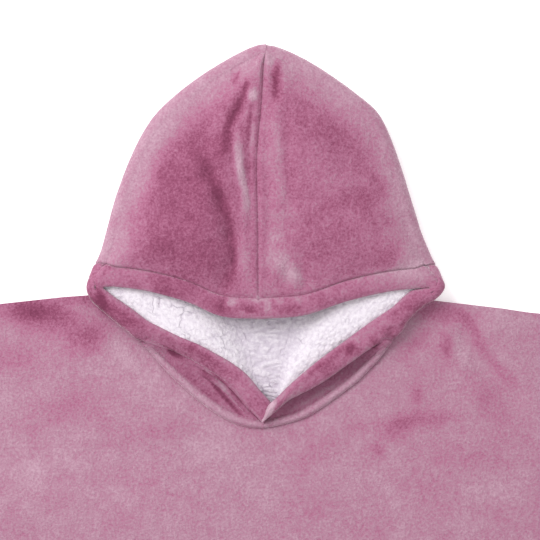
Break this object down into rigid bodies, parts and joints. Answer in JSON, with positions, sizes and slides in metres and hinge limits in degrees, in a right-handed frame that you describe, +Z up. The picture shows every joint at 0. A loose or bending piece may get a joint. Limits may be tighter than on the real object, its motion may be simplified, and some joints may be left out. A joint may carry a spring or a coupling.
{
  "type": "sherpa-lined pullover hoodie laid flat",
  "caption": "Oversized plush pullover hoodie lying flat, front up, with its hood spread above the shoulders and sherpa lining showing in the mouth.",
  "frame": {"origin": "middle of the garment's box seen from above, on the surface it lies on", "axes": "+X to the right of someone looking down at the front, across both sleeves; +Y from the hem to the hood's peak; +Z up, out of the front"},
  "size_m": [1.8032, 1.1242, 0.0476],
  "materials": {
    "plush_cloth": "soft mauve-pink plush with a crushed nap",
    "sherpa_lining": "white clumped sherpa pile"
  },
  "bodies": {
    "root": {"body_front": "plush_cloth", "body_back": "plush_cloth", "sleeve_left": "plush_cloth", "sleeve_right": "plush_cloth", "hood_left": "plush_cloth", "hood_right": "plush_cloth", "hood_edge_left": "plush_cloth", "hood_edge_right": "plush_cloth", "hood_lining_left": "sherpa_lining", "hood_lining_right": "sherpa_lining", "nape_lining": "sherpa_lining"}
  },
  "joints": []
}
